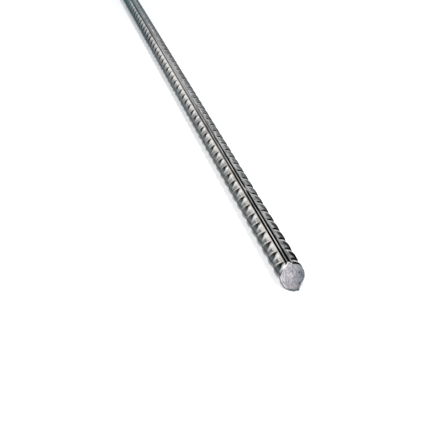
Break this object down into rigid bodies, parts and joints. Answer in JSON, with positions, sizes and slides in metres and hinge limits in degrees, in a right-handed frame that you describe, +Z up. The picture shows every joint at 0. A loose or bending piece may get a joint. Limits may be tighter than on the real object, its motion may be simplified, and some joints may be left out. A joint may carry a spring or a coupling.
{
  "type": "ribbed reinforcing bar",
  "caption": "Straight length of hot-rolled ribbed reinforcing steel, round core with two lengthwise ribs, one end cut on a slant and one end cut square.",
  "frame": {"origin": "on the floor under the middle of the bar", "axes": "+X along the bar towards its slanting cut end, +Z up; the bar lies turned 28 degrees about its length, so its upper lengthwise rib leans towards -Y"},
  "size_m": [1, 0.0114, 0.012],
  "materials": {
    "steel": "satin hot-rolled mill scale"
  },
  "bodies": {
    "root": {"bar": "steel"}
  },
  "joints": []
}
